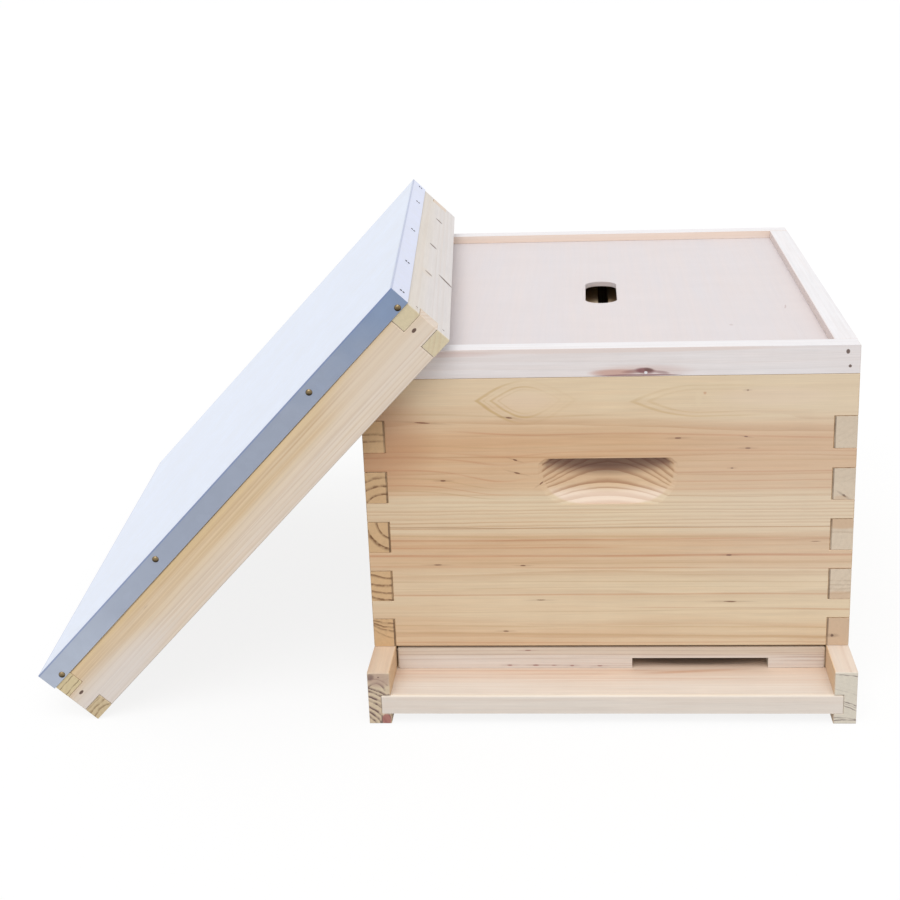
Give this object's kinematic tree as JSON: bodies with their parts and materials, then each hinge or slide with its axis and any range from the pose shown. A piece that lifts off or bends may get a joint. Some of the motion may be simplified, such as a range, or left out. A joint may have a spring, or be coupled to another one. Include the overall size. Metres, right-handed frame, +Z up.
{
  "type": "langstroth beehive",
  "caption": "Wooden box hive on a bottom board, with hanging frames, an inner cover and a metal-clad telescoping cover that leans on its side.",
  "frame": {"origin": "under the middle of the whole object's box, on the ground it stands on", "axes": "+Z up, -Y out of the entrance, +X towards the hive's right side as seen from the front; the outer cover leans on the -X side"},
  "size_m": [0.7414, 0.5866, 0.3763],
  "materials": {
    "box_pine": "planed, unpainted pine",
    "bottom_board_wood": "planed, unpainted fir",
    "inner_cover_wood": "planed, pale softwood",
    "plywood": "sanded thin plywood",
    "cover_pine": "planed, unpainted pine",
    "frame_wood": "planed, unpainted fir",
    "galvanised_sheet": "thin galvanised sheet"
  },
  "bodies": {
    "bottom_board": {"left_rail": "bottom_board_wood", "right_rail": "bottom_board_wood", "floor_board": "bottom_board_wood", "rear_cleat": "bottom_board_wood"},
    "entrance_reducer": {"entrance_reducer": "bottom_board_wood"},
    "brood_box": {"front_board": "box_pine", "back_board": "box_pine", "left_board": "box_pine", "right_board": "box_pine"},
    "inner_cover": {"inner_cover_front_rim": "inner_cover_wood", "inner_cover_back_rim": "inner_cover_wood", "inner_cover_left_rim": "inner_cover_wood", "inner_cover_right_rim": "inner_cover_wood", "inner_cover_panel": "plywood"},
    "outer_cover": {"cover_front_rim": "cover_pine", "cover_back_rim": "cover_pine", "cover_lower_rim": "cover_pine", "cover_upper_rim": "cover_pine", "cover_deck": "cover_pine", "cover_metal_sheet": "galvanised_sheet"},
    "frame_01": {"frame_01_top_bar": "frame_wood", "frame_01_front_end_bar": "frame_wood", "frame_01_back_end_bar": "frame_wood", "frame_01_bottom_bar": "frame_wood"},
    "frame_02": {"frame_02_top_bar": "frame_wood", "frame_02_front_end_bar": "frame_wood", "frame_02_back_end_bar": "frame_wood", "frame_02_bottom_bar": "frame_wood"},
    "frame_03": {"frame_03_top_bar": "frame_wood", "frame_03_front_end_bar": "frame_wood", "frame_03_back_end_bar": "frame_wood", "frame_03_bottom_bar": "frame_wood"},
    "frame_04": {"frame_04_top_bar": "frame_wood", "frame_04_front_end_bar": "frame_wood", "frame_04_back_end_bar": "frame_wood", "frame_04_bottom_bar": "frame_wood"},
    "frame_05": {"frame_05_top_bar": "frame_wood", "frame_05_front_end_bar": "frame_wood", "frame_05_back_end_bar": "frame_wood", "frame_05_bottom_bar": "frame_wood"},
    "frame_06": {"frame_06_top_bar": "frame_wood", "frame_06_front_end_bar": "frame_wood", "frame_06_back_end_bar": "frame_wood", "frame_06_bottom_bar": "frame_wood"},
    "frame_07": {"frame_07_top_bar": "frame_wood", "frame_07_front_end_bar": "frame_wood", "frame_07_back_end_bar": "frame_wood", "frame_07_bottom_bar": "frame_wood"},
    "frame_08": {"frame_08_top_bar": "frame_wood", "frame_08_front_end_bar": "frame_wood", "frame_08_back_end_bar": "frame_wood", "frame_08_bottom_bar": "frame_wood"},
    "frame_09": {"frame_09_top_bar": "frame_wood", "frame_09_front_end_bar": "frame_wood", "frame_09_back_end_bar": "frame_wood", "frame_09_bottom_bar": "frame_wood"},
    "frame_10": {"frame_10_top_bar": "frame_wood", "frame_10_front_end_bar": "frame_wood", "frame_10_back_end_bar": "frame_wood", "frame_10_bottom_bar": "frame_wood"}
  },
  "joints": [
    {"name": "brood_box_lift", "type": "slide", "parent": "bottom_board", "child": "brood_box", "axis": [0, 0, 1], "range_m": [0, 0.15]},
    {"name": "entrance_reducer_slide", "type": "slide", "parent": "bottom_board", "child": "entrance_reducer", "axis": [0, -1, 0], "range_m": [0, 0.12]},
    {"name": "outer_cover_lift", "type": "slide", "parent": "brood_box", "child": "outer_cover", "axis": [-0.716, -0.0526, 0.6961], "range_m": [0, 0.55]},
    {"name": "inner_cover_lift", "type": "slide", "parent": "brood_box", "child": "inner_cover", "axis": [0, 0, 1], "range_m": [0, 0.36]},
    {"name": "frame_01_lift", "type": "slide", "parent": "brood_box", "child": "frame_01", "axis": [0, 0, 1], "range_m": [0, 0.255]},
    {"name": "frame_02_lift", "type": "slide", "parent": "brood_box", "child": "frame_02", "axis": [0, 0, 1], "range_m": [0, 0.255]},
    {"name": "frame_03_lift", "type": "slide", "parent": "brood_box", "child": "frame_03", "axis": [0, 0, 1], "range_m": [0, 0.255]},
    {"name": "frame_04_lift", "type": "slide", "parent": "brood_box", "child": "frame_04", "axis": [0, 0, 1], "range_m": [0, 0.255]},
    {"name": "frame_05_lift", "type": "slide", "parent": "brood_box", "child": "frame_05", "axis": [0, 0, 1], "range_m": [0, 0.255]},
    {"name": "frame_06_lift", "type": "slide", "parent": "brood_box", "child": "frame_06", "axis": [0, 0, 1], "range_m": [0, 0.255]},
    {"name": "frame_07_lift", "type": "slide", "parent": "brood_box", "child": "frame_07", "axis": [0, 0, 1], "range_m": [0, 0.255]},
    {"name": "frame_08_lift", "type": "slide", "parent": "brood_box", "child": "frame_08", "axis": [0, 0, 1], "range_m": [0, 0.255]},
    {"name": "frame_09_lift", "type": "slide", "parent": "brood_box", "child": "frame_09", "axis": [0, 0, 1], "range_m": [0, 0.255]},
    {"name": "frame_10_lift", "type": "slide", "parent": "brood_box", "child": "frame_10", "axis": [0, 0, 1], "range_m": [0, 0.255]}
  ],
  "couplings": [
    {"joint": "inner_cover_lift", "follows": "outer_cover_lift", "ratio": 0.65},
    {"joint": "frame_01_lift", "follows": "outer_cover_lift", "ratio": 0.46},
    {"joint": "frame_02_lift", "follows": "outer_cover_lift", "ratio": 0.46},
    {"joint": "frame_03_lift", "follows": "outer_cover_lift", "ratio": 0.46},
    {"joint": "frame_04_lift", "follows": "outer_cover_lift", "ratio": 0.46},
    {"joint": "frame_05_lift", "follows": "outer_cover_lift", "ratio": 0.46},
    {"joint": "frame_06_lift", "follows": "outer_cover_lift", "ratio": 0.46},
    {"joint": "frame_07_lift", "follows": "outer_cover_lift", "ratio": 0.46},
    {"joint": "frame_08_lift", "follows": "outer_cover_lift", "ratio": 0.46},
    {"joint": "frame_09_lift", "follows": "outer_cover_lift", "ratio": 0.46},
    {"joint": "frame_10_lift", "follows": "outer_cover_lift", "ratio": 0.46}
  ]
}
